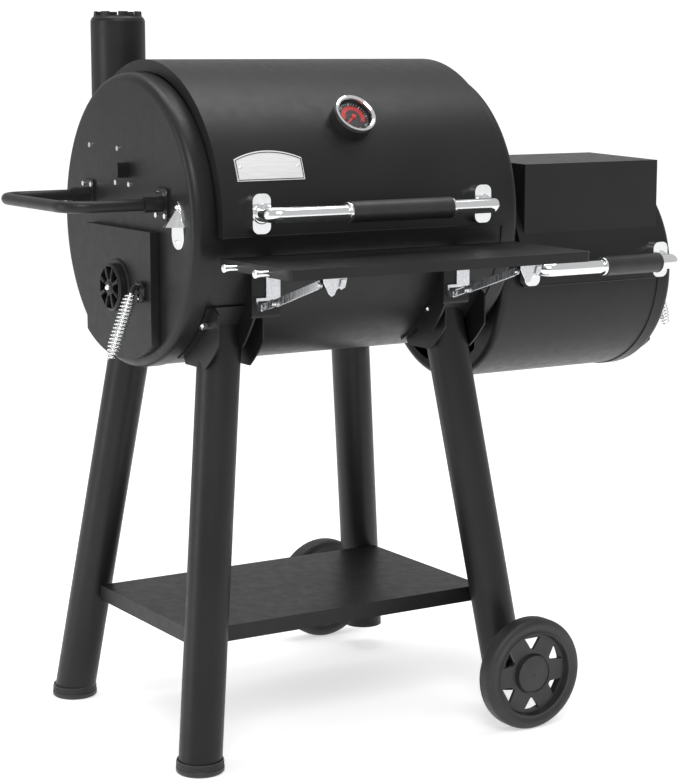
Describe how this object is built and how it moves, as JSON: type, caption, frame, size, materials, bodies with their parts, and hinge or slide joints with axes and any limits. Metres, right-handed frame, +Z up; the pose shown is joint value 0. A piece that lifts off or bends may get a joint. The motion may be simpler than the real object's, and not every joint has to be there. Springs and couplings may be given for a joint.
{
  "type": "offset smoker",
  "caption": "Offset charcoal smoker: lidded drum chamber with side firebox, folding front shelf, stack, splayed legs and wheels.",
  "frame": {"origin": "on the floor under the middle of the whole object's box", "axes": "+X from the lift handle towards the firebox, -Y the front with the shelf, +Z up"},
  "size_m": [1.3312, 0.877, 1.278],
  "materials": {
    "satin_black": "satin powder coat",
    "chrome": "polished plating",
    "zinc_plate": "bright zinc plate",
    "grip_black": "fine matte",
    "tyre_black": "moulded, matte",
    "moulded_black": "fine moulded texture",
    "grate_iron": "seasoned",
    "dial_face": "printed, matte",
    "clear_glass": "polished",
    "needle_red": "gloss",
    "plaque_silver": "satin"
  },
  "bodies": {
    "frame": {"main_shell": "satin_black", "left_end_cap": "satin_black", "right_end_cap": "satin_black", "firebox_shell": "satin_black", "firebox_inner_cap": "satin_black", "firebox_outer_cap": "satin_black", "hinge_pins_and_knuckles": "satin_black", "stack_pipe": "satin_black", "stack_duct": "satin_black", "left_legs": "satin_black", "right_legs": "satin_black", "foot_caps": "moulded_black", "leg_saddles": "satin_black", "bottom_shelf": "satin_black", "wheel_stubs": "satin_black", "shelf_brackets": "zinc_plate", "door_hinge_pins": "satin_black", "lift_handle": "satin_black", "lift_handle_plates": "satin_black", "end_cap_bolts": "chrome", "spit_port_plug": "satin_black", "bottle_opener": "chrome", "cooking_grates": "grate_iron", "charcoal_grate": "grate_iron", "firebox_grate": "grate_iron", "grate_rails": "satin_black"},
    "lid": {"lid_shell": "satin_black", "lid_handle_bar": "chrome", "lid_handle_grip": "grip_black", "lid_handle_brackets": "chrome", "gauge_housing": "moulded_black", "gauge_bezel": "chrome", "gauge_dial": "dial_face", "gauge_lens": "clear_glass", "badge_plate": "plaque_silver", "lid_hinge_straps": "satin_black"},
    "needle": {"gauge_needle": "needle_red"},
    "firebox_lid": {"firebox_lid_shell": "satin_black", "firebox_lid_box": "satin_black", "firebox_handle_bar": "chrome", "firebox_handle_grip": "grip_black", "firebox_handle_brackets": "chrome", "firebox_hinge_straps": "satin_black"},
    "stack_cap": {"stack_cap": "satin_black"},
    "front_shelf": {"front_shelf": "satin_black", "tool_pegs": "chrome"},
    "struts": {"shelf_struts": "zinc_plate"},
    "links": {"shelf_links": "zinc_plate"},
    "ash_door": {"ash_door": "satin_black"},
    "ash_damper": {"ash_damper": "satin_black"},
    "ash_latch": {"ash_latch": "satin_black", "ash_spring_handle": "chrome"},
    "fire_door": {"fire_door": "satin_black"},
    "fire_damper": {"fire_damper": "satin_black"},
    "fire_latch": {"fire_latch": "satin_black", "fire_spring_handle": "chrome"},
    "front_wheel": {"front_tyre": "tyre_black", "front_wheel_disc": "moulded_black"},
    "rear_wheel": {"rear_tyre": "tyre_black", "rear_wheel_disc": "moulded_black"}
  },
  "joints": [
    {"name": "lid_hinge", "type": "hinge", "parent": "frame", "child": "lid", "pos_m": [-0.146, 0.2606, 1.10774], "axis": [-1, 0, 0], "range_deg": [0, 80]},
    {"name": "needle_spindle", "type": "hinge", "parent": "lid", "child": "needle", "pos_m": [-0.154, -0.15999, 1.08492], "axis": [0, -0.788, 0.6157], "range_deg": [-90, 150]},
    {"name": "firebox_lid_hinge", "type": "hinge", "parent": "frame", "child": "firebox_lid", "pos_m": [0.388, 0.21346, 0.937], "axis": [-1, 0, 0], "range_deg": [0, 80]},
    {"name": "stack_cap_turn", "type": "hinge", "parent": "frame", "child": "stack_cap", "pos_m": [-0.323, 0.3875, 1.256], "axis": [0, 0, 1], "range_deg": [0, 90]},
    {"name": "shelf_fold", "type": "hinge", "parent": "frame", "child": "front_shelf", "pos_m": [-0.121, -0.2085, 0.854], "axis": [1, 0, 0], "range_deg": [0, 90]},
    {"name": "strut_fold", "type": "hinge", "parent": "frame", "child": "struts", "pos_m": [-0.164, -0.2085, 0.784], "axis": [1, 0, 0], "range_deg": [-65.15, 0]},
    {"name": "link_fold", "type": "hinge", "parent": "front_shelf", "child": "links", "pos_m": [-0.164, -0.3865, 0.84], "axis": [1, 0, 0], "range_deg": [0, 24.85]},
    {"name": "ash_door_hinge", "type": "hinge", "parent": "frame", "child": "ash_door", "pos_m": [-0.4805, 0.1915, 0.85], "axis": [0, 0, -1], "range_deg": [0, 110]},
    {"name": "ash_damper_turn", "type": "hinge", "parent": "ash_door", "child": "ash_damper", "pos_m": [-0.491, 0.0575, 0.802], "axis": [-1, 0, 0], "range_deg": [0, 22.5]},
    {"name": "ash_latch_turn", "type": "hinge", "parent": "ash_door", "child": "ash_latch", "pos_m": [-0.491, -0.0365, 0.802], "axis": [-1, 0, 0], "range_deg": [0, 60]},
    {"name": "fire_door_hinge", "type": "hinge", "parent": "frame", "child": "fire_door", "pos_m": [0.5955, 0.1835, 0.83], "axis": [0, 0, 1], "range_deg": [0, 110]},
    {"name": "fire_damper_turn", "type": "hinge", "parent": "fire_door", "child": "fire_damper", "pos_m": [0.606, 0.0575, 0.779], "axis": [-1, 0, 0], "range_deg": [0, 22.5]},
    {"name": "fire_latch_turn", "type": "hinge", "parent": "fire_door", "child": "fire_latch", "pos_m": [0.606, -0.0365, 0.779], "axis": [-1, 0, 0], "range_deg": [0, 60]},
    {"name": "front_wheel_spin", "type": "hinge", "parent": "frame", "child": "front_wheel", "pos_m": [0.141, -0.2995, 0.1015], "axis": [0, 1, 0], "continuous": true},
    {"name": "rear_wheel_spin", "type": "hinge", "parent": "frame", "child": "rear_wheel", "pos_m": [0.141, 0.4145, 0.1015], "axis": [0, 1, 0], "continuous": true}
  ],
  "couplings": [
    {"joint": "strut_fold", "follows": "shelf_fold", "ratio": -0.72389},
    {"joint": "link_fold", "follows": "shelf_fold", "ratio": 0.27611}
  ]
}
